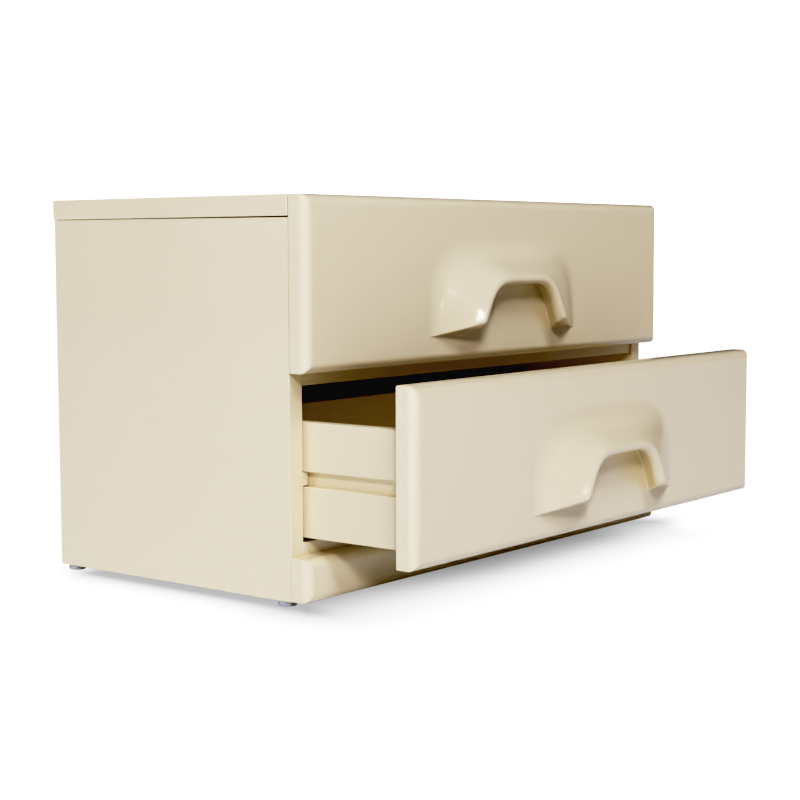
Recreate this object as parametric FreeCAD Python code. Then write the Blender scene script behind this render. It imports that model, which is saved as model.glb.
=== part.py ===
import FreeCAD, Part
import os
from math import pi

# Low two-drawer chest on a plinth.  Millimetres, +X to the object's right (seen from the front),
# the fronts face -Y, +Z up.  Everything is laid out from the carcass: x = 0 is its middle, y = 0 the
# plane of its front edges, z = 0 the underside of its side panels.  put() then moves each piece into
# the part's own frame, whose origin is the middle of the whole object's footprint on the floor.

# ---------------------------------------------------------------- driving dimensions
WIDTH = 800.0            # over the side panels, and the width of the fronts
DEPTH = 406.0            # side panels, front edge to back edge
HEIGHT = 475.0           # underside of the side panels to the top
SIDE_T = 24.0            # side panel thickness
TOP_T = 25.0             # top slab thickness
GLIDE_H = 6.0            # floor glide height
GLIDE_R = 11.0           # floor glide radius
GLIDE_FRONT = 15.0       # glide centre behind the front edges
GLIDE_BACK = 20.0        # glide centre in front of the back edges

FRONT_T = 28.5           # front face of the drawer fronts ahead of the carcass edges
FRONT_GAP = 1.0          # air between a closed front and the carcass edges
FRONT_R = 11.5           # rounding round the front face
PLINTH_Z0, PLINTH_Z1 = 1.0, 53.0
LOWER_Z0, LOWER_Z1 = 57.0, 263.0
UPPER_Z0, UPPER_Z1 = 268.5, 475.0

BOTTOM_Z0, BOTTOM_Z1 = 50.3, 68.3    # bottom panel
RAIL_Z0, RAIL_Z1 = 252.7, 276.7      # rail between the drawers
RAIL_SET, RAIL_D = 3.0, 70.0         # rail set-back and depth
BACK_T = 5.0                         # back panel
REBATE = 10.0                        # rebate width for the back panel

BOX_GAP = 1.5            # box side to side panel
BOX_T = 16.0             # box side thickness
BOX_LEN = 350.0          # box length behind the front
BOX_LOW, BOX_HIGH = 16.7, 153.5      # box sides above the front's bottom edge
BACK_HIGH = 150.5                    # box back's top above the front's bottom edge
BOX_BACK_T = 14.0
FLOOR_LOW, FLOOR_T = 22.7, 6.0       # box bottom above the front's bottom edge
GROOVE_Z0, GROOVE_Z1 = 77.0, 95.0    # runner groove above the front's bottom edge
GROOVE_D = 9.5
RUNNER_Z0, RUNNER_Z1 = 78.5, 94.5    # runner above the front's bottom edge
RUNNER_T, RUNNER_LEN = 10.5, 350.0

HOOD_P = 34.0            # how far the hood stands ahead of the front
HOOD_TIP_Z = 33.0        # hood tips above the front's bottom edge
HOOD_RISE = 14.0 / 34.0  # the cut-off underside rises towards the rim
HOOD_HALF = 162.0        # half the hood's outline at the tips
HOOD_TALL = 127.0        # height of the outline above the tips

OPEN = 156.0             # how far the lower drawer stands open at rest

YC = (DEPTH - (OPEN + FRONT_T + HOOD_P)) / 2.0
HW = WIDTH / 2.0
IN = HW - SIDE_T         # inner face of a side panel


# ---------------------------------------------------------------- helpers
def V(x, y, z):
    return FreeCAD.Vector(x, y, z)


def box(x0, x1, y0, y1, z0, z1):
    return Part.makeBox(x1 - x0, y1 - y0, z1 - z0, V(x0, y0, z0))


def rod(x, y, z, r, length, axis):
    return Part.makeCylinder(r, length, V(x, y, z), V(*axis))


def fuse(shapes):
    out = shapes[0]
    for s in shapes[1:]:
        out = out.fuse(s)
    return out


def cut(shape, tools):
    for t in tools:
        shape = shape.cut(t)
    return shape


def screw(x, y, z, axis, length, r, head_r, sink=0.3, grow=0.0):
    """Countersunk screw: the head's rim lies sink below (x, y, z), the shank runs along axis."""
    a = V(*axis)
    h = head_r - r
    start = V(x, y, z) + a * sink
    head = Part.makeCone(head_r + grow, r + grow, h, start, a)
    shank = Part.makeCylinder(r + grow, length - h, start + a * h, a)
    s = head.fuse(shank)
    if grow:
        s = s.fuse(Part.makeCylinder(head_r + grow, sink + 1.0, V(x, y, z) - a, a))
    return s.removeSplitter()


def pan_screw(x, y, z, axis, length, r, head_r, head_h, grow=0.0):
    """Pan-head screw: the head sits on (x, y, z), the shank runs along axis."""
    a = V(*axis)
    shank = Part.makeCylinder(r + grow, length, V(x, y, z), a)
    if grow:
        return shank
    head = Part.makeCone(head_r, head_r * 0.7, head_h, V(x, y, z), a * -1)
    return shank.fuse(head).removeSplitter()


def front_board(x0, x1, y0, y1, z0, z1, r):
    """Board whose front face has the wide rounding all round."""
    b = box(x0, x1, y0, y1, z0, z1)
    edges = [e for e in b.Edges
             if all(abs(v.Point.y - y0) < 1e-6 for v in e.Vertexes)]
    return b.makeFillet(r, edges)


def group(shapes):
    return Part.makeCompound(shapes)


pieces = {}


def put(name, shape, open_by=0.0):
    s = shape.copy()
    s.translate(V(0, -YC - open_by, GLIDE_H))
    pieces[name] = s


# ---------------------------------------------------------------- fasteners of the carcass
DR = 4.0                 # dowel radius
dowel_at = []            # (x, y, z, axis, length)
for sx in (-1, 1):
    for y in (60.0, 200.0, 340.0):
        dowel_at.append((sx * (HW - SIDE_T / 2), y, 432.0, (0, 0, 1), 36.0))
        dowel_at.append((sx * (IN - 20.0), y, 59.3, (sx, 0, 0), 32.0))
    for y in (20.0, 56.0):
        dowel_at.append((sx * (IN - 20.0), y, 264.7, (sx, 0, 0), 32.0))
    dowel_at.append((sx * (IN - 20.0), 11.0, 25.0, (sx, 0, 0), 32.0))
    dowel_at.append((sx * (HW - SIDE_T / 2), -14.0, 27.0, (0, 1, 0), 30.0))
dowels = [rod(x, y, z, DR, n, a) for x, y, z, a, n in dowel_at]
dowel_holes = [rod(x - a[0] * 0.5, y - a[1] * 0.5, z - a[2] * 0.5, DR + 0.05, n + 1.0, a)
               for x, y, z, a, n in dowel_at]

runner_rows = {"lower": LOWER_Z0, "upper": UPPER_Z0}
runner_screws, runner_holes = [], []
for z0 in runner_rows.values():
    zc = z0 + (RUNNER_Z0 + RUNNER_Z1) / 2
    for sx in (-1, 1):
        for y in (40.0, 175.0, 310.0):
            at = (sx * (IN - RUNNER_T), y, zc, (sx, 0, 0), 24.0, 1.8, 3.8)
            runner_screws.append(screw(*at))
            runner_holes.append(screw(*at, grow=0.05))

back_at = [(sx * (IN + 5.0), z) for sx in (-1, 1) for z in (100.0, 190.0, 280.0, 370.0, 435.0)]
back_at += [(x, z) for x in (-250.0, 0.0, 250.0) for z in (454.0, 59.3)]
back_screws = [screw(x, DEPTH, z, (0, -1, 0), 18.0, 1.4, 3.0) for x, z in back_at]
back_holes = [screw(x, DEPTH, z, (0, -1, 0), 18.0, 1.4, 3.0, grow=0.05) for x, z in back_at]

plinth_at = [(x, 22.0, 27.0) for x in (-300.0, -100.0, 100.0, 300.0)]
plinth_screws = [screw(x, y, z, (0, -1, 0), 40.0, 2.0, 4.0) for x, y, z in plinth_at]
plinth_holes = [screw(x, y, z, (0, -1, 0), 40.0, 2.0, 4.0, grow=0.05) for x, y, z in plinth_at]

glide_at = [(sx * (HW - SIDE_T / 2), y) for sx in (-1, 1) for y in (GLIDE_FRONT, DEPTH - GLIDE_BACK)]
glide_screws = [screw(x, y, -GLIDE_H, (0, 0, 1), 24.0, 1.8, 4.0, sink=1.5) for x, y in glide_at]
glide_holes = [screw(x, y, -GLIDE_H, (0, 0, 1), 24.0, 1.8, 4.0, sink=1.5, grow=0.05) for x, y in glide_at]

# ---------------------------------------------------------------- carcass
y_back = DEPTH - BACK_T - 0.2        # front face of the rebate

for name, sx in (("side_panel_left", -1), ("side_panel_right", 1)):
    x0, x1 = sorted((sx * IN, sx * HW))
    side = box(x0, x1, 0.0, DEPTH, 0.0, HEIGHT - TOP_T)
    rx = sorted((sx * (IN - 1.0), sx * (IN + REBATE)))
    side = cut(side, [box(rx[0], rx[1], y_back, DEPTH + 1.0, -1.0, HEIGHT)])
    near = [t for t in dowel_holes + runner_holes + back_holes + glide_holes
            if t.BoundBox.XMin * sx > 0 or t.BoundBox.XMax * sx > 0]
    put(name, cut(side, near))

top = box(-HW, HW, 0.0, DEPTH, HEIGHT - TOP_T, HEIGHT)
top = cut(top, [box(-IN - REBATE, IN + REBATE, y_back, DEPTH + 1.0, HEIGHT - TOP_T - 1.0, HEIGHT - TOP_T + 8.0)])
put("top_panel", cut(top, [t for t in dowel_holes + back_holes if t.BoundBox.ZMax > HEIGHT - TOP_T]))

bottom = box(-IN, IN, 0.0, y_back, BOTTOM_Z0, BOTTOM_Z1)
put("bottom_panel", cut(bottom, [t for t in dowel_holes + back_holes if 50.0 < t.BoundBox.Center.z < 68.0]))

rail = box(-IN, IN, RAIL_SET, RAIL_SET + RAIL_D, RAIL_Z0, RAIL_Z1)
put("middle_rail", cut(rail, [t for t in dowel_holes if 255.0 < t.BoundBox.Center.z < 275.0]))

plinth_rail = box(-IN, IN, 0.0, 22.0, PLINTH_Z0, BOTTOM_Z0)
put("plinth_rail", cut(plinth_rail, [t for t in dowel_holes if t.BoundBox.Center.z < 30.0] + plinth_holes))

plinth = front_board(-HW, HW, -FRONT_T, 0.0, PLINTH_Z0, PLINTH_Z1, FRONT_R)
put("plinth_front", cut(plinth, [t for t in dowel_holes if t.BoundBox.YMin < 0] + plinth_holes))

back = box(-IN - REBATE + 0.5, IN + REBATE - 0.5, DEPTH - BACK_T, DEPTH, 10.0, HEIGHT - TOP_T + 7.5)
put("back_panel", cut(back, back_holes))

for row, z0 in runner_rows.items():
    for side_name, sx in (("left", -1), ("right", 1)):
        x0, x1 = sorted((sx * IN, sx * (IN - RUNNER_T)))
        run = box(x0, x1, 0.0, RUNNER_LEN, z0 + RUNNER_Z0, z0 + RUNNER_Z1)
        face_x = sx * (IN - RUNNER_T)
        nose = [e for e in run.Edges
                if all(abs(v.Point.y) < 1e-6 and abs(v.Point.x - face_x) < 1e-6 for v in e.Vertexes)]
        long_edges = [e for e in run.Edges
                      if all(abs(v.Point.x - face_x) < 1e-6 for v in e.Vertexes)
                      and abs(e.Vertexes[0].Point.y - e.Vertexes[1].Point.y) > 1.0]
        run = run.makeFillet(2.0, nose + long_edges)
        near = [t for t in runner_holes
                if z0 < t.BoundBox.Center.z < z0 + 200 and t.BoundBox.Center.x * sx > 0]
        put("%s_runner_%s" % (row, side_name), cut(run, near))

glides = []
for (x, y), hole in zip(glide_at, glide_holes):
    g = Part.makeCylinder(GLIDE_R, GLIDE_H, V(x, y, -GLIDE_H))
    rim = [e for e in g.Edges if len(e.Vertexes) == 1 and abs(e.Vertexes[0].Point.z + GLIDE_H) < 1e-6]
    g = g.makeFillet(1.2, rim)
    glides.append(g.cut(hole))
put("floor_glides", group(glides))
put("glide_screws", group(glide_screws))
put("carcass_dowels", group(dowels))
put("runner_screws", group(runner_screws))
put("back_panel_screws", group(back_screws))
put("plinth_screws", group(plinth_screws))


# ---------------------------------------------------------------- hood-shaped pull
def sup(x, z, a, b, n):
    return ((abs(x) / a) ** n + (max(z, 0.0) / b) ** n) ** (1.0 / n)


def flank(t):
    """1 at the crest, 0 at the hood's outline: short round shoulder, straight flank, short fade."""
    a, b = 0.12, 0.86
    if t <= 0:
        return 1.0
    if t >= 1:
        return 0.0
    total = a / 2 + (b - a) + (1 - b) / 2
    if t < a:
        s = t * t / (2 * a)
    elif t < b:
        s = a / 2 + (t - a)
    else:
        u = (t - b) / (1 - b)
        s = a / 2 + (b - a) + (1 - b) * (u - u * u / 2)
    return 1.0 - s / total


OVER = 0.8               # the raw surface stands this much over the crest and under the front plane,
                         # and is trimmed to both planes afterwards


def hood_height(x, z):
    """Projection of the raw hood surface at x, z above its tips."""
    nr = sup(x, z, 95.0, 84.0, 2.2)
    no = sup(x, z, HOOD_HALF, HOOD_TALL, 4.0)
    if nr <= 1.0:
        return HOOD_P + OVER
    if no >= 1.0:
        return -OVER
    return -OVER + (HOOD_P + 2 * OVER) * flank((1 - 1 / nr) / (1 / no - 1 / nr))


def hood_half(z):
    return HOOD_HALF * (1 - (max(z, 0.0) / HOOD_TALL) ** 4) ** 0.25


def profile(z):
    w = hood_half(z)
    n = 28
    pts = [V(w * (2.0 * i / n - 1.0), -hood_height(w * (2.0 * i / n - 1.0), z), z) for i in range(n + 1)]
    pts[0].y = pts[-1].y = OVER
    curve = Part.BSplineCurve()
    curve.interpolate(pts)
    back_l, back_r = V(pts[0].x, 12.0, z), V(pts[-1].x, 12.0, z)
    return Part.Wire([curve.toShape(), Part.makeLine(pts[-1], back_r), Part.makeLine(back_r, back_l),
                      Part.makeLine(back_l, pts[0])])


# arch of the finger opening: half-width and height above the hood tips, at the front board (wide)
# and at the rim (narrow)
ARCH_BACK = [(117.0, -33.0), (112.5, -14.0), (108.0, 0.0), (103.4, 9.0), (99.5, 19.4), (94.8, 30.2),
             (89.0, 41.0), (81.0, 51.5), (69.0, 61.0), (52.0, 68.5), (30.0, 72.0)]
ARCH_RIM = [(83.0, -33.0), (80.0, -14.0), (78.2, 0.0), (76.6, 8.0), (74.8, 17.0), (72.0, 27.0),
            (68.0, 37.5), (61.5, 47.5), (53.0, 56.5), (42.5, 62.6), (30.0, 64.7)]


def arch_wire(p):
    k = p / HOOD_P
    half = [(b[0] + (r[0] - b[0]) * k, b[1] + (r[1] - b[1]) * k) for b, r in zip(ARCH_BACK, ARCH_RIM)]
    right = Part.BSplineCurve()
    right.interpolate([V(x, -p, z) for x, z in half])
    left = Part.BSplineCurve()
    left.interpolate([V(-x, -p, z) for x, z in reversed(half)])
    a, b = V(half[-1][0], -p, half[-1][1]), V(-half[-1][0], -p, half[-1][1])
    c, d = V(-half[0][0], -p, half[0][1]), V(half[0][0], -p, half[0][1])
    return Part.Wire([right.toShape(), Part.makeLine(a, b), left.toShape(), Part.makeLine(c, d)])


def hood():
    levels = [-14.0, 0.0, 14.0, 28.0, 42.0, 56.0, 70.0, 82.0, 94.0, 104.0, 112.0, 118.0, 122.5]
    body = Part.makeLoft([profile(z) for z in levels], True, False)
    w = HOOD_HALF + 20.0
    body = body.common(box(-w, w, -HOOD_P, 0.0, -30.0, HOOD_TALL + 20.0))
    mouth = Part.makeLoft([arch_wire(-1.0), arch_wire(HOOD_P + 8.0)], True, True)
    body = body.cut(mouth)
    # the underside is one plane that rises towards the rim
    under = Part.Face(Part.makePolygon([V(-w, 20.0, -HOOD_RISE * 20.0), V(-w, -80.0, HOOD_RISE * 80.0),
                                        V(-w, -80.0, -90.0), V(-w, 20.0, -90.0),
                                        V(-w, 20.0, -HOOD_RISE * 20.0)])).extrude(V(2 * w, 0, 0))
    body = body.cut(under)
    return body.Solids[0]


hood_shape = hood()
print("hood", len(hood_shape.Faces), "faces, volume", round(hood_shape.Volume / 1000.0, 1), hood_shape.isValid())
rim = []
for e in hood_shape.Edges:
    ps = [e.valueAt(e.FirstParameter + (e.LastParameter - e.FirstParameter) * i / 6.0) for i in range(7)]
    if all(abs(p.y + HOOD_P) < 0.05 for p in ps) and all(sup(p.x, p.z, 95.0, 84.0, 2.2) < 0.93 for p in ps):
        if max(p.x for p in ps) - min(p.x for p in ps) > 1.0 or max(p.z for p in ps) - min(p.z for p in ps) > 1.0:
            rim.append(e)
print("rim edges", [(round(e.Length, 1)) for e in rim])
for radius in (4.0, 3.0, 2.0, 1.0):
    try:
        eased = hood_shape.makeFillet(radius, rim)
        if eased.isValid() and eased.Volume > 0 and len(eased.Solids) == 1:
            hood_shape = eased.Solids[0]
            print("hood rim eased by", radius)
            break
    except Exception as why:
        print("hood rim fillet", radius, "not made:", why)

HD = 3.0                 # hood dowel radius
hood_dowel_at = [(-124.0, 52.0, 8.0), (124.0, 52.0, 8.0), (-45.0, 124.0, 12.0), (45.0, 124.0, 12.0)]

# ---------------------------------------------------------------- drawers
bx1 = IN - BOX_GAP                   # outer face of a box side
bx0 = bx1 - BOX_T                    # inner face
yb = -FRONT_GAP                      # back face of the front, where the box begins
ye = yb + BOX_LEN

for row, z0, z1, out in (("lower", LOWER_Z0, LOWER_Z1, OPEN), ("upper", UPPER_Z0, UPPER_Z1, 0.0)):
    zl, zh = z0 + BOX_LOW, z0 + BOX_HIGH
    zf = z0 + FLOOR_LOW
    # fasteners
    bd_at = []
    for sx in (-1, 1):
        for dz in (45.0, 66.0, 125.0):
            for y in (yb + 8.0, ye - BOX_BACK_T / 2):
                bd_at.append((sx * (bx0 - 14.0), y, z0 + dz, (sx, 0, 0), 22.0))
    box_dowels = [rod(x, y, z, 3.0, n, a) for x, y, z, a, n in bd_at]
    bd_holes = [rod(x - a[0] * 0.5, y, z, 3.05, n + 1.0, a) for x, y, z, a, n in bd_at]
    fs_at = [(x, yb + BOX_T, z0 + dz) for x in (-300.0, -60.0, 60.0, 300.0) for dz in (45.0, 125.0)]
    front_screws = [pan_screw(x, y, z, (0, -1, 0), 33.0, 2.0, 4.2, 2.6) for x, y, z in fs_at]
    fs_holes = [pan_screw(x, y + 0.5, z, (0, -1, 0), 34.0, 2.0, 4.2, 2.6, grow=0.05) for x, y, z in fs_at]
    bs_at = [(x, ye - BOX_BACK_T / 2, zf) for x in (-270.0, -90.0, 90.0, 270.0)]
    bottom_screws = [screw(x, y, z, (0, 0, 1), 22.0, 1.4, 3.0) for x, y, z in bs_at]
    bs_holes = [screw(x, y, z, (0, 0, 1), 22.0, 1.4, 3.0, grow=0.05) for x, y, z in bs_at]
    hd = [rod(x, -FRONT_T - deep, z0 + dz, HD, deep + 12.0, (0, 1, 0)) for x, dz, deep in hood_dowel_at]
    hd_holes = [rod(x, -FRONT_T - deep - 0.5, z0 + dz, HD + 0.05, deep + 13.0, (0, 1, 0))
                for x, dz, deep in hood_dowel_at]

    front = front_board(-HW, HW, -FRONT_T, yb, z0, z1, FRONT_R)
    put("%s_drawer_front" % row, cut(front, fs_holes + hd_holes), out)

    h = hood_shape.copy()
    h.translate(V(0, -FRONT_T, z0 + HOOD_TIP_Z))
    put("%s_handle_hood" % row, cut(h, hd_holes), out)

    for side_name, sx in (("left", -1), ("right", 1)):
        xa, xb = sorted((sx * bx0, sx * bx1))
        s = box(xa, xb, yb, ye, zl, zh)
        ga, gb = sorted((sx * (bx1 - GROOVE_D), sx * (bx1 + 1.0)))
        groove = box(ga, gb, yb - 1.0, ye + 1.0, z0 + GROOVE_Z0, z0 + GROOVE_Z1)
        fa, fb = sorted((sx * (bx0 - 1.0), sx * (bx0 + 6.0)))
        floor_groove = box(fa, fb, yb + BOX_T - 6.0, ye + 1.0, zf - 0.1, zf + FLOOR_T + 0.1)
        s = cut(s, [groove, floor_groove] + [t for t in bd_holes if t.BoundBox.Center.x * sx > 0])
        put("%s_box_side_%s" % (row, side_name), s, out)

    bf = box(-bx0, bx0, yb, yb + BOX_T, zl, zh)
    bf = cut(bf, [box(-bx0 - 1, bx0 + 1, yb + BOX_T - 6.0, yb + BOX_T + 1.0, zf - 0.1, zf + FLOOR_T + 0.1)])
    put("%s_box_front" % row, cut(bf, fs_holes + bd_holes), out)

    bb = box(-bx0, bx0, ye - BOX_BACK_T, ye, zf + FLOOR_T, z0 + BACK_HIGH)
    put("%s_box_back" % row, cut(bb, bs_holes + bd_holes), out)

    bottom_board = box(-bx0 - 5.8, bx0 + 5.8, yb + BOX_T - 5.8, ye, zf, zf + FLOOR_T)
    put("%s_box_bottom" % row, cut(bottom_board, bs_holes), out)

    put("%s_box_dowels" % row, group(box_dowels), out)
    put("%s_front_screws" % row, group(front_screws), out)
    put("%s_bottom_screws" % row, group(bottom_screws), out)
    put("%s_hood_dowels" % row, group(hd), out)

# ---------------------------------------------------------------- export
os.makedirs("parts", exist_ok=True)
for name, shape in pieces.items():
    solids = shape.Solids
    bad = [s for s in solids if not (s.isValid() and s.isClosed())]
    bb = shape.BoundBox
    print("%-24s %2d solids  %9.1f cm3  x %7.1f %7.1f  y %7.1f %7.1f  z %6.1f %6.1f%s" % (
        name, len(solids), shape.Volume / 1000.0, bb.XMin, bb.XMax, bb.YMin, bb.YMax, bb.ZMin, bb.ZMax,
        "  BAD" if bad else ""))
    if len(solids) == 1:
        solids[0].exportStep("parts/%s.step" % name)
    else:
        Part.makeCompound(solids).exportStep("parts/%s.step" % name)
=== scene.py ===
import math

import bmesh
import bpy
import numpy as np
from mathutils import Matrix, Vector
from mathutils.geometry import tessellate_polygon

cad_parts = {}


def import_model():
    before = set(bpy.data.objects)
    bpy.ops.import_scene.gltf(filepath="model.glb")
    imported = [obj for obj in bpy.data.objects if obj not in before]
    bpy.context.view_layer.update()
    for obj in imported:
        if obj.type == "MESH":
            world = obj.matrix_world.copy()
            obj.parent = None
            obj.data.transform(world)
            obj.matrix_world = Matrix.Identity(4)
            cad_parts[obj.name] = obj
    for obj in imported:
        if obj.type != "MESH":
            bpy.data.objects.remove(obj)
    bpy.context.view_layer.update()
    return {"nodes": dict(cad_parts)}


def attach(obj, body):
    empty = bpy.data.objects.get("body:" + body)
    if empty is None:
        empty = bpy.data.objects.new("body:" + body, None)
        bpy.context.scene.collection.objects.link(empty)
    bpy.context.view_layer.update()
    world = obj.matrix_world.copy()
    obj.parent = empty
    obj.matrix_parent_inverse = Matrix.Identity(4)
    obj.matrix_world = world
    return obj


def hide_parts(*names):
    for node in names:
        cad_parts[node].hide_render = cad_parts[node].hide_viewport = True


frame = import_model()
scene = bpy.context.scene

# ------------------------------------------------------------------ camera
YAW, PITCH, ROLL = math.radians(51.7866), math.radians(5.2355), math.radians(-0.1873)


def make_camera():
    fwd = Vector((math.sin(YAW) * math.cos(PITCH), math.cos(YAW) * math.cos(PITCH), -math.sin(PITCH)))
    right = Vector((math.cos(YAW), -math.sin(YAW), 0.0))
    up = right.cross(fwd)
    r2 = right * math.cos(ROLL) + up * math.sin(ROLL)
    u2 = up * math.cos(ROLL) - right * math.sin(ROLL)
    data = bpy.data.cameras.new("view_camera")
    data.sensor_width = 36.0
    data.sensor_fit = "HORIZONTAL"
    data.lens = 75.357
    data.clip_start, data.clip_end = 0.05, 200.0
    cam = bpy.data.objects.new("view_camera", data)
    scene.collection.objects.link(cam)
    m = Matrix((r2, u2, -fwd)).transposed().to_4x4()
    m.translation = Vector((-1.83398, -1.38671, 0.42039))
    cam.matrix_world = m
    scene.camera = cam
    return cam


make_camera()


# ------------------------------------------------------------------ materials
def srgb(r, g, b):
    def lin(c):
        c = c / 255.0
        return c / 12.92 if c <= 0.04045 else ((c + 0.055) / 1.055) ** 2.4
    return (lin(r), lin(g), lin(b), 1.0)


class Mat:
    """A node material on one Principled shader."""

    def __init__(self, name):
        self.m = bpy.data.materials.new(name)
        self.m.use_nodes = True
        self.t = self.m.node_tree
        self.n = self.t.nodes
        self.bsdf = self.n["Principled BSDF"]
        self.co = self.n.new("ShaderNodeTexCoord").outputs["Object"]

    def link(self, a, b):
        self.t.links.new(a, b)

    def noise(self, scale, detail=2.0, rough=0.5, stretch=None, distortion=0.0):
        node = self.n.new("ShaderNodeTexNoise")
        node.inputs["Scale"].default_value = scale
        node.inputs["Detail"].default_value = detail
        node.inputs["Roughness"].default_value = rough
        node.inputs["Distortion"].default_value = distortion
        src = self.co
        if stretch:
            mp = self.n.new("ShaderNodeMapping")
            mp.inputs["Scale"].default_value = stretch
            self.link(self.co, mp.inputs["Vector"])
            src = mp.outputs["Vector"]
        self.link(src, node.inputs["Vector"])
        return node.outputs["Fac"]

    def ramp(self, fac, stops):
        node = self.n.new("ShaderNodeValToRGB")
        e = node.color_ramp.elements
        while len(e) < len(stops):
            e.new(0.5)
        for k, (pos, col) in zip(e, stops):
            k.position = pos
            k.color = col
        self.link(fac, node.inputs["Fac"])
        return node.outputs["Color"]

    def span(self, fac, lo, hi, a=0.0, b=1.0, soft=False):
        node = self.n.new("ShaderNodeMapRange")
        node.interpolation_type = "SMOOTHSTEP" if soft else "LINEAR"
        node.inputs["From Min"].default_value = a
        node.inputs["From Max"].default_value = b
        node.inputs["To Min"].default_value = lo
        node.inputs["To Max"].default_value = hi
        self.link(fac, node.inputs["Value"])
        return node.outputs["Result"]

    def mix(self, fac, a, b, blend="MIX"):
        node = self.n.new("ShaderNodeMix")
        node.data_type = "RGBA"
        node.blend_type = blend
        for sock, v in (("Factor", fac), ("A", a), ("B", b)):
            s = [i for i in node.inputs if i.name == sock and i.enabled][0]
            if isinstance(v, (tuple, float)):
                s.default_value = v
            else:
                self.link(v, s)
        return [o for o in node.outputs if o.enabled][0]

    def bump(self, height, strength, distance, normal=None):
        node = self.n.new("ShaderNodeBump")
        node.inputs["Strength"].default_value = strength
        node.inputs["Distance"].default_value = distance
        self.link(height, node.inputs["Height"])
        if normal is not None:
            self.link(normal, node.inputs["Normal"])
        return node.outputs["Normal"]

    def set(self, **k):
        for name, v in k.items():
            s = self.bsdf.inputs[name.replace("_", " ")]
            if isinstance(v, (int, float, tuple)):
                s.default_value = v
            else:
                self.link(v, s)
        return self


def scaled(c, k):
    return (c[0] * k, c[1] * k, c[2] * k, 1.0)


def lacquer(name, base, rough, coat=0.35):
    """Sprayed satin lacquer: faint clouding in the colour, orange peel, slightly uneven gloss, and a
    painted highlight, a paler and cooler line along convex edges."""
    m = Mat(name)
    cloud = m.ramp(m.noise(3.2, 3.0, 0.55), [(0.30, scaled(base, 0.985)), (0.70, scaled(base, 1.012))])
    col = cloud
    geo = m.n.new("ShaderNodeNewGeometry")
    # painted highlight: convex edges (high Pointiness) are tinted paler and cooler than the base colour
    edge = m.span(geo.outputs["Pointiness"], 0.0, 0.30, 0.53, 0.62)
    col = m.mix(edge, col, scaled((base[0] * 1.05, base[1] * 1.055, base[2] * 1.08, 1.0), 1.0))
    peel = m.bump(m.noise(330.0, 2.0, 0.5), 0.05, 0.0006)
    wave = m.bump(m.noise(9.0, 1.0, 0.4), 0.05, 0.0022, peel)
    m.set(Base_Color=col, Roughness=m.span(m.noise(14.0, 2.0, 0.5), rough - 0.025, rough + 0.025),
          Normal=wave, Coat_Weight=coat, Coat_Roughness=0.07, Coat_IOR=1.5, Specular_IOR_Level=0.5, IOR=1.47)
    m.link(wave, m.bsdf.inputs["Coat Normal"])
    return m.m


CREAM = (0.81, 0.715, 0.475, 1.0)
cream = lacquer("cream_lacquer", CREAM, 0.36, 0.7)
inner = lacquer("box_lacquer", (0.785, 0.69, 0.455, 1.0), 0.42, 0.12)


def thin_board():
    """Lacquered thin board, a slight press texture in it."""
    m = Mat("thin_board")
    base = srgb(226, 217, 196)
    cloud = m.ramp(m.noise(5.0, 3.0, 0.6), [(0.3, scaled(base, 0.97)), (0.7, scaled(base, 1.01))])
    weave = m.noise(700.0, 2.0, 0.6)
    m.set(Base_Color=cloud, Roughness=m.span(m.noise(14.0), 0.5, 0.58),
          Normal=m.bump(weave, 0.12, 0.0004), Specular_IOR_Level=0.4)
    return m.m


def wood():
    """Beech dowel: long fine grain and small dark flecks."""
    m = Mat("dowel_wood")
    grain = m.noise(90.0, 4.0, 0.6, (1.0, 0.12, 1.0), 0.4)
    col = m.ramp(grain, [(0.25, srgb(176, 132, 84)), (0.55, srgb(206, 165, 112)), (0.8, srgb(222, 186, 136))])
    m.set(Base_Color=col, Roughness=m.span(grain, 0.5, 0.7), Normal=m.bump(grain, 0.2, 0.0004))
    return m.m


def steel():
    """Zinc-plated screw: bright metal with fine turning marks."""
    m = Mat("screw_steel")
    marks = m.noise(900.0, 3.0, 0.6)
    col = m.ramp(m.noise(60.0, 3.0, 0.6), [(0.3, (0.50, 0.50, 0.49, 1)), (0.7, (0.68, 0.68, 0.66, 1))])
    m.set(Base_Color=col, Roughness=m.span(marks, 0.22, 0.42), Normal=m.bump(marks, 0.1, 0.0002))
    m.bsdf.inputs["Metallic"].default_value = 1.0
    return m.m


def plastic():
    """Moulded grey glide: fine matt texture, scuffed."""
    m = Mat("glide_plastic")
    col = m.ramp(m.noise(120.0, 3.0, 0.6), [(0.3, srgb(150, 150, 150)), (0.7, srgb(190, 190, 190))])
    m.set(Base_Color=col, Roughness=m.span(m.noise(200.0), 0.4, 0.6), Normal=m.bump(m.noise(1200.0), 0.15, 0.0003))
    return m.m


board_mat, wood_mat, steel_mat, plastic_mat = thin_board(), wood(), steel(), plastic()
FINISH = {"cream_lacquer": cream, "box_lacquer": inner, "thin_board": board_mat, "dowel_wood": wood_mat,
          "screw_steel": steel_mat, "glide_plastic": plastic_mat}


def slot_of(node):
    if "dowels" in node:
        return "dowel_wood"
    if "screws" in node:
        return "screw_steel"
    if node == "floor_glides":
        return "glide_plastic"
    if node == "back_panel" or node.endswith("box_bottom"):
        return "thin_board"
    if "_box_" in node or "runner" in node:
        return "box_lacquer"
    return "cream_lacquer"


def body_of(node):
    if node.startswith("lower_") and "runner" not in node:
        return "lower_drawer"
    if node.startswith("upper_") and "runner" not in node:
        return "upper_drawer"
    return "root"


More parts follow.
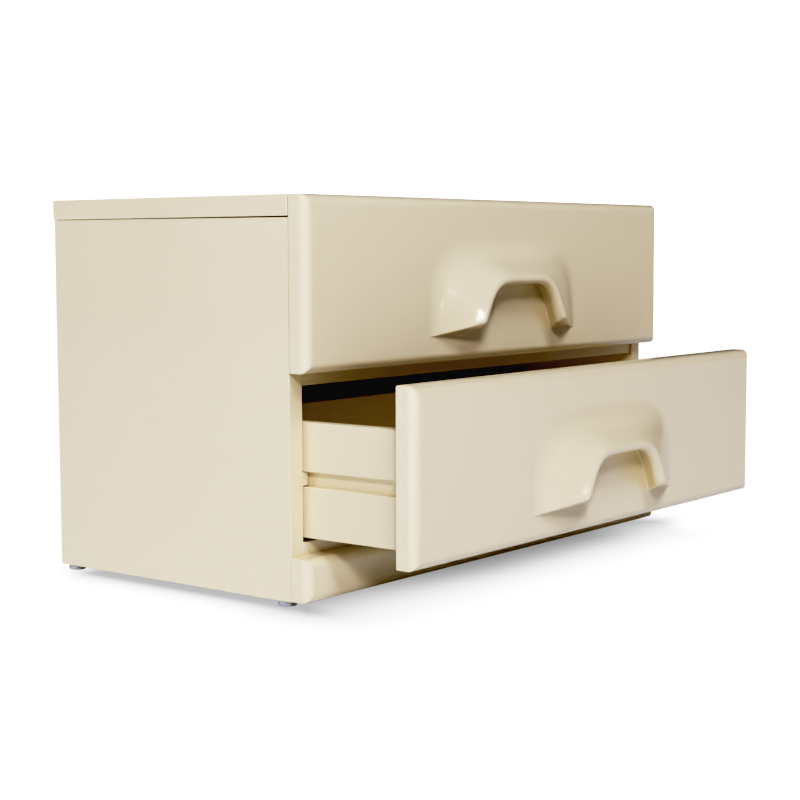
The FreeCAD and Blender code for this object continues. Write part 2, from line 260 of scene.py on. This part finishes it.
# ------------------------------------------------------------------ mesh helpers
def add_piece(name, mesh, node_names, slot, sharp=38.0):
    ob = bpy.data.objects.new(name, mesh)
    scene.collection.objects.link(ob)
    mesh.materials.clear()
    mesh.materials.append(FINISH[slot])
    for p in mesh.polygons:
        p.use_smooth = True
    mesh.set_sharp_from_angle(angle=math.radians(sharp))
    wn = ob.modifiers.new("normals", "WEIGHTED_NORMAL")
    wn.mode = "FACE_AREA"
    wn.weight = 50
    wn.keep_sharp = True
    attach(ob, body_of(node_names[0]))
    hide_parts(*node_names)
    return ob


def mesh_from(name, verts, faces, weld=2e-6):
    bm = bmesh.new()
    vs = [bm.verts.new(v) for v in verts]
    for f in faces:
        if len(set(f)) == len(f):
            try:
                bm.faces.new([vs[i] for i in f])
            except ValueError:
                pass
    bmesh.ops.remove_doubles(bm, verts=bm.verts, dist=weld)
    bmesh.ops.dissolve_degenerate(bm, edges=bm.edges, dist=weld)
    bmesh.ops.recalc_face_normals(bm, faces=bm.faces)
    me = bpy.data.meshes.new(name)
    bm.to_mesh(me)
    bm.free()
    return me


# ------------------------------------------------------------------ fronts with their hoods
# Local millimetres: X across from the middle, Z above the lower edge of the front, P ahead of its face.
YC = 93.75
RISE = 14.0 / 34.0
HOOD_P = 34.0
TIP_Z = 33.0
RIM_R = 8.0
RIM_LINE = [(0.0, 104.2), (20.0, 104.2), (36.0, 103.8), (50.9, 101.5), (60.6, 97.4), (69.7, 90.5),
            (76.4, 82.3), (82.2, 73.0), (87.3, 63.2), (91.8, 54.6), (95.5, 47.0)]
FOOT = ([47.0, 55.0, 63.0, 73.0, 82.5, 92.0, 104.0], [14.6, 13.0, 11.4, 8.6, 5.2, 3.6, 3.4])
FADE_A, FADE_B, FADE_N = 171.0, 126.0, 4.0
FADE = ([47.0, 60.0, 80.0, 104.2], [0.12, 0.14, 0.21, 0.40])   # share of the flank taken by the fade, by height of the rim
FOOT_R = 1.5
ARRIS = ([0.0, 20.0, 30.0, 34.0], [2.0, 2.0, 3.6, 4.0])        # rounding of the cut-off underside, by P


def cubic(points):
    """Natural cubic through the points, by chord length: returns f(s) and the whole length."""
    p = np.array(points, float)
    s = np.concatenate([[0.0], np.cumsum(np.linalg.norm(np.diff(p, axis=0), axis=1))])
    n = len(p)
    h = np.diff(s)
    a = np.zeros((n, n))
    b = np.zeros((n, 2))
    a[0, 0] = a[-1, -1] = 1.0
    for i in range(1, n - 1):
        a[i, i - 1], a[i, i], a[i, i + 1] = h[i - 1], 2 * (h[i - 1] + h[i]), h[i]
        b[i] = 6 * ((p[i + 1] - p[i]) / h[i] - (p[i] - p[i - 1]) / h[i - 1])
    m = np.linalg.solve(a, b)

    def f(x, deriv=False):
        i = int(np.clip(np.searchsorted(s, x) - 1, 0, n - 2))
        u, v = (s[i + 1] - x), (x - s[i])
        if deriv:
            return (-m[i] * u * u + m[i + 1] * v * v) / (2 * h[i]) + (p[i + 1] - p[i]) / h[i] - (m[i + 1] - m[i]) * h[i] / 6
        return (m[i] * u ** 3 + m[i + 1] * v ** 3) / (6 * h[i]) + (p[i] / h[i] - m[i] * h[i] / 6) * u + (
            p[i + 1] / h[i] - m[i + 1] * h[i] / 6) * v
    return f, s


def smooth(x):
    x = min(max(x, 0.0), 1.0)
    return x * x * (3 - 2 * x)


def cross_section(eo, f, share, rows=(14, 10, 22, 8, 8)):
    """(e, P) points from the end of the fade over the rim to the cavity floor."""
    r, pc = RIM_R, HOOD_P - RIM_R
    fade = share * eo
    q = eo - fade
    d = math.hypot(q, pc)
    up = math.atan2(pc, -q) - math.asin(r / d)
    lt = math.sqrt(d * d - r * r)
    beta = math.pi - up
    rho = fade / math.tan(beta / 2)
    out = [(eo - rho * math.sin(beta * i / rows[0]), rho * (1 - math.cos(beta * i / rows[0])))
           for i in range(rows[0] + 1)]
    for i in range(1, rows[1] + 1):
        k = fade + (lt - fade) * i / rows[1]
        out.append((q + k * math.cos(up), k * math.sin(up)))
    df = math.hypot(f, pc)
    inn = math.atan2(pc, -f) + math.asin(r / df)
    li = math.sqrt(df * df - r * r)
    a0, a1 = up - math.pi / 2, inn + math.pi / 2
    for i in range(1, rows[2] + 1):
        a = a0 + (a1 - a0) * i / rows[2]
        out.append((r * math.cos(a), pc + r * math.sin(a)))
    lf = FOOT_R / math.tan((math.pi - inn) / 2)
    for i in range(1, rows[3] + 1):
        k = li + (lf - li) * i / rows[3]
        out.append((f + k * math.cos(inn), k * math.sin(inn)))
    b0, b1 = inn - math.pi / 2, -math.pi / 2
    for i in range(1, rows[4] + 1):
        a = b0 + (b1 - b0) * i / rows[4]
        out.append((f - lf + FOOT_R * math.cos(a), FOOT_R + FOOT_R * math.sin(a)))
    out[-1] = (out[-1][0], 0.0)
    return out


def hood_columns(step=2.4):
    """Right half of the hood: a list of columns, each the 3-D points of one cross-section."""
    mirror = [(-x, z) for x, z in reversed(RIM_LINE[1:])] + RIM_LINE
    f, s = cubic(mirror)
    s0, s1 = s[len(RIM_LINE) - 1], s[-1]
    n = int((s1 - s0) / step)
    cols = []
    for j in range(n + 1):
        at = s0 + (s1 - s0) * j / n
        m, d = f(at), f(at, True)
        d = d / np.linalg.norm(d)
        nrm = np.array([-d[1], d[0]])
        if nrm[1] < 0 or (j > n / 2 and nrm[0] < 0):
            nrm = -nrm
        if j == 0:
            m[0], nrm = 0.0, np.array([0.0, 1.0])
        k = smooth((at - (s1 - 34.0)) / 34.0)
        ang = math.atan2(nrm[1], nrm[0]) * (1 - k)
        nrm = np.array([math.cos(ang), math.sin(ang)]) if j else nrm
        w = smooth((86.0 - m[1]) / 39.0)
        if j == n:
            w, m[1] = 1.0, 47.0
        lo, hi = 5.0, 140.0
        for _ in range(40):
            e = (lo + hi) / 2
            x, z = m[0] + nrm[0] * e, m[1] + nrm[1] * e - 14.0 * w - TIP_Z
            if (abs(x) / FADE_A) ** FADE_N + (max(z, 0.0) / FADE_B) ** FADE_N > 1:
                hi = e
            else:
                lo = e
        foot = float(np.interp(m[1], FOOT[0], FOOT[1]))
        col = []
        share = float(np.interp(m[1], FADE[0], FADE[1]))
        for e, p in cross_section(lo, foot, share):
            col.append((m[0] + nrm[0] * e, m[1] + nrm[1] * e - w * RISE * (HOOD_P - p), p))
        cols.append(np.array(col))
    return cols


def rounded_loop(hw, h, inset, rc_low, rc_high, nc=8, nx=26, nz=8):
    """Rounded rectangle, counter-clockwise in (X, Z), always the same number of points."""
    x0, x1, z0, z1 = -hw + inset, hw - inset, inset, h - inset
    lo, hi = max(rc_low, 0.05), max(rc_high, 0.05)
    pts = []
    corners = [(x1 - lo, z0 + lo, lo, -90.0), (x1 - hi, z1 - hi, hi, 0.0), (x0 + hi, z1 - hi, hi, 90.0),
               (x0 + lo, z0 + lo, lo, 180.0)]
    arcs = [[(cx + rc * math.cos(math.radians(a + 90.0 * i / nc)), cz + rc * math.sin(math.radians(a + 90.0 * i / nc)))
             for i in range(nc + 1)] for cx, cz, rc, a in corners]
    for k in range(4):
        pts += arcs[k]
        nxt = arcs[(k + 1) % 4][0]
        last = arcs[k][-1]
        m = nz if k in (0, 2) else nx
        for i in range(1, m):
            pts.append((last[0] + (nxt[0] - last[0]) * i / m, last[1] + (nxt[1] - last[1]) * i / m))
    return pts


def front_mesh(name, hw, h, z_floor, thick, with_hood, y_face, back_r=1.6, face_r=11.5, low_r=1.2, high_r=3.2):
    """Front board, with its hood if wanted, as one closed skin. y_face is the face's y in metres."""
    verts, faces = [], []

    def add(x, z, p):
        verts.append((x / 1000.0, y_face - p / 1000.0, (z + z_floor) / 1000.0))
        return len(verts) - 1

    # perimeter, from the face's flat to the back's flat
    loops = []
    nf, nb = 12, 5
    for i in range(nf + 1):
        a = math.pi / 2 * i / nf
        inset = face_r * (1 - math.sin(a))
        k = inset / face_r
        rc = [max(0.6, c * (1 - k) + 0.6 * k + 0.5 * math.sin(math.pi * k)) for c in (low_r, high_r)]
        loops.append([add(x, z, -face_r * (1 - math.cos(a))) for x, z in rounded_loop(hw, h, inset, *rc)])
    for i in range(nb + 1):
        a = math.pi / 2 * i / nb
        inset = back_r * (1 - math.cos(a))
        rc = [max(c - inset, 0.4) for c in (low_r, high_r)]
        loops.append([add(x, z, -(thick - back_r) - back_r * math.sin(a)) for x, z in rounded_loop(hw, h, inset, *rc)])
    m = len(loops[0])
    for a, b in zip(loops, loops[1:]):
        for i in range(m):
            faces.append((a[i], a[(i + 1) % m], b[(i + 1) % m], b[i]))
    back = [Vector((verts[i][0], verts[i][2], 0.0)) for i in loops[-1]]
    for t in tessellate_polygon([back]):
        faces.append(tuple(loops[-1][i] for i in t))

    if not with_hood:
        flat = [Vector((verts[i][0], verts[i][2], 0.0)) for i in loops[0]]
        for t in tessellate_polygon([flat]):
            faces.append(tuple(loops[0][i] for i in t))
        return mesh_from(name, verts, faces)

    cols = hood_columns()
    k = cols[-1]                                   # the sharp edge of the cut-off underside
    prev = cols[-3]
    npt = len(k)
    rho = np.minimum(np.interp(k[:, 2], *ARRIS), 0.45 * k[:, 2])
    side = prev - k
    side /= np.maximum(np.linalg.norm(side, axis=1), 1e-9)[:, None]
    tangent = np.gradient(k, axis=0)
    tangent /= np.maximum(np.linalg.norm(tangent, axis=1), 1e-9)[:, None]
    plane_n = np.array([0.0, -1.0, RISE])          # outward normal of the underside in (X, Z, P)
    plane_n /= np.linalg.norm(plane_n)
    inward = np.cross(np.broadcast_to(plane_n, tangent.shape), tangent)
    poly = [(q[0], q[2]) for q in k]

    def within(px, pz):
        c = False
        for (x0, y0), (x1, y1) in zip(poly, poly[1:] + poly[:1]):
            if (y0 > pz) != (y1 > pz) and px < (x1 - x0) * (pz - y0) / (y1 - y0) + x0:
                c = not c
        return c

    probe = npt // 3
    if not within(k[probe][0] + inward[probe][0] * 0.8, k[probe][2] + inward[probe][2] * 0.8):
        inward = -inward
    a_pts = k + side * rho[:, None]
    b_pts = k + inward * rho[:, None]
    arc_cols = []
    na = 5
    for i in range(na + 1):
        u = i / na
        # conic through a and b with the sharp edge as its control point
        cosang = np.sum(side * inward, axis=1)
        wgt = np.sin(np.arccos(np.clip(cosang, -1, 1)) / 2)
        den = (1 - u) ** 2 + 2 * u * (1 - u) * wgt + u * u
        arc_cols.append(((1 - u) ** 2 * a_pts + (2 * u * (1 - u) * wgt)[:, None] * k + u * u * b_pts) / den[:, None])
    half = cols[:-2] + arc_cols
    ids_r = [[add(*q) for q in c] for c in half]
    ids_l = [ids_r[0]] + [[add(-q[0], q[1], q[2]) for q in c] for c in half[1:]]
    for ids in (ids_r, ids_l):
        for a, b in zip(ids, ids[1:]):
            for i in range(npt - 1):
                faces.append((a[i], a[i + 1], b[i + 1], b[i]))
        cap = [Vector((verts[i][0], verts[i][1], 0.0)) for i in ids[-1]]
        for t in tessellate_polygon([cap]):
            faces.append(tuple(ids[-1][i] for i in t))
    outline = [c[0] for c in reversed(ids_l[1:])] + [c[0] for c in ids_r]
    inline = [c[-1] for c in reversed(ids_r)] + [c[-1] for c in ids_l[1:]]
    # points that fall together (the tips) are listed once
    hole = []
    for i in outline + inline:
        if not hole or (Vector(verts[i]) - Vector(verts[hole[-1]])).length > 2e-6:
            hole.append(i)
    outer = loops[0]
    polys = [[Vector((verts[i][0], verts[i][2], 0.0)) for i in outer],
             [Vector((verts[i][0], verts[i][2], 0.0)) for i in hole]]
    flat_ids = list(outer) + hole
    for t in tessellate_polygon(polys):
        faces.append(tuple(flat_ids[i] for i in t))
    return mesh_from(name, verts, faces)


for row, z0, z1, opened in (("lower", 57.0, 263.0, 156.0), ("upper", 268.5, 475.0, 0.0)):
    y_face = (-28.5 - YC - opened) / 1000.0
    me = front_mesh(row + "_front_with_hood", 400.0, z1 - z0, z0 + 6.0, 27.5, True, y_face)
    add_piece(row + "_front_with_hood", me, [row + "_drawer_front", row + "_handle_hood"], "cream_lacquer")

me = front_mesh("plinth_board", 400.0, 52.0, 7.0, 28.5, False, (-28.5 - YC) / 1000.0, high_r=1.6)
add_piece("plinth_board", me, ["plinth_front"], "cream_lacquer")


# ------------------------------------------------------------------ boards with eased edges
def eased(node, width, min_len=0.012, segments=3):
    src = frame["nodes"][node]
    bm = bmesh.new()
    bm.from_mesh(src.data)
    bmesh.ops.remove_doubles(bm, verts=bm.verts, dist=2e-6)
    bmesh.ops.dissolve_limit(bm, angle_limit=math.radians(0.5), verts=bm.verts, edges=bm.edges)
    if node.startswith("side_panel"):
        # a hair back from the top panel all round, which leaves the shadow line under it
        top, rear, out = (f(v.co[i] * (k if i == 0 else 1) for v in bm.verts) for f, i, k in (
            (max, 2, 1), (max, 1, 1), (max, 0, -1 if node.endswith("left") else 1)))
        sign = -1 if node.endswith("left") else 1
        for v in bm.verts:
            if v.co.z > top - 2e-5:
                v.co.z -= 0.0002 if v.co.y > 0.1 else 0.0014
            if v.co.y > rear - 2e-5:
                v.co.y -= 0.0008
            if v.co.x * sign > out - 2e-5:
                v.co.x -= 0.0011 * sign
    edges = [e for e in bm.edges if len(e.link_faces) == 2 and e.calc_length() > min_len
             and e.calc_face_angle(0.0) > math.radians(40.0)]
    bmesh.ops.bevel(bm, geom=edges, offset=width / 1000.0, offset_type="OFFSET", segments=segments, profile=0.5,
                    affect="EDGES", clamp_overlap=True)
    bmesh.ops.triangulate(bm, faces=[f for f in bm.faces if len(f.verts) > 4])
    me = bpy.data.meshes.new(node + "_eased")
    bm.to_mesh(me)
    bm.free()
    return add_piece(node + "_eased", me, [node], slot_of(node), 45.0)


EASE = {"side_panel_left": 0.9, "side_panel_right": 0.9, "top_panel": 0.9, "bottom_panel": 0.9, "middle_rail": 1.2,
        "plinth_rail": 0.6, "back_panel": 0.4}
for row in ("lower", "upper"):
    EASE[row + "_box_side_left"] = EASE[row + "_box_side_right"] = 1.2
    EASE[row + "_box_front"] = EASE[row + "_box_back"] = 0.8
    EASE[row + "_box_bottom"] = 0.3
for node, width in EASE.items():
    eased(node, width)

for node, ob in frame["nodes"].items():
    ob.data.materials.clear()
    ob.data.materials.append(FINISH[slot_of(node)])

# ------------------------------------------------------------------ floor, world, lights
def stage_floor():
    me = bpy.data.meshes.new("studio_floor")
    s = 14.0
    me.from_pydata([(-s, -s, 0), (s, -s, 0), (s, s, 0), (-s, s, 0)], [], [(0, 1, 2, 3)])
    ob = bpy.data.objects.new("studio_floor", me)
    scene.collection.objects.link(ob)
    m = Mat("studio_floor")
    m.set(Base_Color=(0.86, 0.865, 0.88, 1.0), Roughness=0.9, Specular_IOR_Level=0.1)
    # the sweep reads as burnt-out white, with a soft shade that hugs the carcass's foot
    xyz = m.n.new("ShaderNodeSeparateXYZ")
    m.link(m.co, xyz.inputs["Vector"])

    def sums(op, a, b=None):
        node = m.n.new("ShaderNodeMath")
        node.operation = op
        for k, v in enumerate((a, b)):
            if isinstance(v, float):
                node.inputs[k].default_value = v
            elif v is not None:
                m.link(v, node.inputs[k])
        return node.outputs[0]

    x, y = xyz.outputs["X"], xyz.outputs["Y"]
    ahead = sums("SUBTRACT", sums("MULTIPLY", y, -1.0), 0.12225)
    beside = sums("MAXIMUM", sums("SUBTRACT", sums("MULTIPLY", x, -1.0), 0.4),
                  sums("SUBTRACT", x, m.span(ahead, 0.40, 0.32, 0.0, 0.07, True)))
    behind = sums("SUBTRACT", y, 0.31225)
    along_y = sums("MAXIMUM", ahead, behind)
    out_x = sums("MULTIPLY", sums("MAXIMUM", beside, 0.0), m.span(y, 1.7, 2.5, -0.12, 0.02, True))
    out_y = sums("MAXIMUM", along_y, 0.0)
    far = sums("SQRT", sums("ADD", sums("MULTIPLY", out_x, out_x), sums("MULTIPLY", out_y, out_y)))
    # deepest before the middle of the plinth, gone past its right end and at the back
    deep = sums("MULTIPLY", m.span(x, 0.0, 1.0, -0.33, -0.02, True), m.span(x, 1.0, 0.1, 0.20, 0.36, True))
    deep = sums("MULTIPLY", deep, sums("MAXIMUM", sums("SUBTRACT", 0.046, sums("MULTIPLY", far, 0.38)), 0.0))
    edge = sums("MULTIPLY", m.span(x, 1.0, 0.0, -0.40, -0.37), sums("MAXIMUM", sums("SUBTRACT", 0.02, sums("MULTIPLY", far, 0.4)), 0.0))
    deep = sums("ADD", deep, edge)
    far = sums("SUBTRACT", sums("ADD", far, m.span(y, 0.0, 0.13, 0.24, 0.32, True)), deep)
    under = sums("MINIMUM", sums("MAXIMUM", beside, along_y), 0.0)
    shade = m.ramp(m.span(sums("ADD", far, under), 0.0, 1.0, -0.2, 0.2),
                   [((t + 0.2) / 0.4, shown(floor_shade(t))) for t in [-0.2, -0.1, -0.06]
                    + [-0.04 + 0.212 * i / 27 for i in range(28)]])
    glow, path, mixer = (m.n.new("ShaderNode" + k) for k in ("Emission", "LightPath", "MixShader"))
    m.link(shade, glow.inputs["Color"])
    glow.inputs["Strength"].default_value = 1.0
    m.link(path.outputs["Is Camera Ray"], mixer.inputs["Fac"])
    m.link(m.bsdf.outputs["BSDF"], mixer.inputs[1])
    m.link(glow.outputs["Emission"], mixer.inputs[2])
    m.link(mixer.outputs["Shader"], m.n["Material Output"].inputs["Surface"])
    ob.data.materials.append(m.m)
    return ob


WORLD = 0.0
BLACK = (0.05, 0.063, 0.085)
WHITE = 2.0
CONTRAST, KNEE = 1.3, 0.35


def tone(u):
    """Print curve: u is the scene value above black, 0 to 1 of WHITE."""
    v = (u * (WHITE - BLACK[1]) / (1.0 - BLACK[1])) ** CONTRAST
    v = v if v < KNEE else KNEE + (1.0 - KNEE) * (1.0 - math.exp(-(v - KNEE) / (1.0 - KNEE)))
    return v + 0.03 * max(0.0, (u - 0.6) / 0.4)


CURVE = [(u, min(1.0, tone(u) + 0.0025 * max(0.0, 1.0 - u / 0.12))) for u in (0.0, 0.02, 0.05, 0.09, 0.14, 0.19, 0.24, 0.29, 0.34, 0.40, 0.48, 0.58, 0.70,
                                          0.85, 1.0)]
def floor_shade(t):
    """How bright the floor reads (0 to 255), t metres from the carcass's foot, negative underneath."""
    if t < 0.0:
        return 208.0 * math.exp(-(-t / 0.18) ** 1.15)
    return 258.5 - 50.5 * math.exp(-t / 0.055)


def shown(v):
    """The scene value that the view settings below show as v out of 255."""
    d = v / 255.0
    lin = d / 12.92 if d <= 0.04045 else ((d + 0.055) / 1.055) ** 2.4
    u = float(np.interp(lin, [c[1] for c in CURVE], [c[0] for c in CURVE]))
    return tuple(b + u * (WHITE - b) for b in BLACK) + (1.0,)


def world():
    w = bpy.data.worlds.new("studio")
    scene.world = w
    w.use_nodes = True
    t = w.node_tree
    n = t.nodes
    n.clear()
    out = n.new("ShaderNodeOutputWorld")
    mixer = n.new("ShaderNodeMixShader")
    path = n.new("ShaderNodeLightPath")
    a, b = n.new("ShaderNodeBackground"), n.new("ShaderNodeBackground")
    a.inputs["Color"].default_value = (0.97, 0.985, 1.0, 1.0)
    a.inputs["Strength"].default_value = WORLD
    b.inputs["Color"].default_value = (1, 1, 1, 1)
    b.inputs["Strength"].default_value = 2.8
    t.links.new(path.outputs["Is Camera Ray"], mixer.inputs["Fac"])
    t.links.new(a.outputs["Background"], mixer.inputs[1])
    t.links.new(b.outputs["Background"], mixer.inputs[2])
    t.links.new(mixer.outputs["Shader"], out.inputs["Surface"])


def area(name, loc, target, size, power, color=(1, 1, 1), gloss=True):
    d = bpy.data.lights.new(name, "AREA")
    d.shape = "SQUARE"
    d.size = size
    d.energy = power
    d.color = color
    ob = bpy.data.objects.new(name, d)
    scene.collection.objects.link(ob)
    v = Vector(target) - Vector(loc)
    ob.rotation_mode = "QUATERNION"
    ob.rotation_quaternion = v.to_track_quat("-Z", "Y")
    ob.location = loc
    ob.visible_glossy = gloss
    return ob


stage_floor()
world()
key_dir = Vector((1.24, 1.0, -0.84)).normalized()
aim = Vector((0.0, -0.15, 0.25))
area("key_light", aim - key_dir * 5.0, aim, 0.70, 137.0, (1.02, 0.98, 1.18))


def bank(name, azimuth, height, distance, size, power, tint, gloss=False):
    """A soft light that far off, by its bearing from straight ahead (to the left) and its height in degrees."""
    a, e = math.radians(azimuth), math.radians(height)
    at = Vector((-math.sin(a) * math.cos(e), -math.cos(a) * math.cos(e), math.sin(e))) * distance
    return area(name, at + Vector((0, -0.1, 0.25)), (0, -0.1, 0.25), size, power, tint, gloss)


bank("head_bank", 34, 52, 6.0, 1.7, 224.0, (0.93, 1.005, 1.23))
bank("left_bank", 108, 8, 6.0, 1.5, 94.0, (0.93, 1.0, 1.24))
bank("right_bank", -74, 24, 6.0, 1.8, 50.0, (1.24, 1.0, 1.22))
bank("front_bank", -40, 8, 6.0, 1.5, 7.0, (1.0, 1.0, 1.1))
bank("back_bank", 180, 30, 6.0, 2.5, 75.0, (0.98, 1.0, 1.18))
bank("right_rear_bank", -128, 22, 6.0, 2.5, 85.0, (0.98, 1.0, 1.18))
for name, at, wide, high, power in (("glint_box", (0.03, -3.4, 1.24), 0.38, 0.22, 7.4),
                                    ("low_glint_box", (0.22, -3.6, 0.68), 0.32, 0.12, 1.1)):
    lamp = area(name, at, (0.0, -0.12, 0.32), wide, power)
    lamp.data.shape = "RECTANGLE"
    lamp.data.size_y = high
    lamp.visible_diffuse = False
view = scene.view_settings
view.use_curve_mapping = True
curve_map = view.curve_mapping
curve_map.extend = "HORIZONTAL"
curve_map.black_level = BLACK
curve_map.white_level = (WHITE, WHITE, WHITE)
points = curve_map.curves[3].points
while len(points) < len(CURVE):
    points.new(0.5, 0.5)
for pt, at in zip(points, CURVE):
    pt.location = at
curve_map.update()
scene.view_settings.view_transform = "Standard"
scene.view_settings.look = "None"
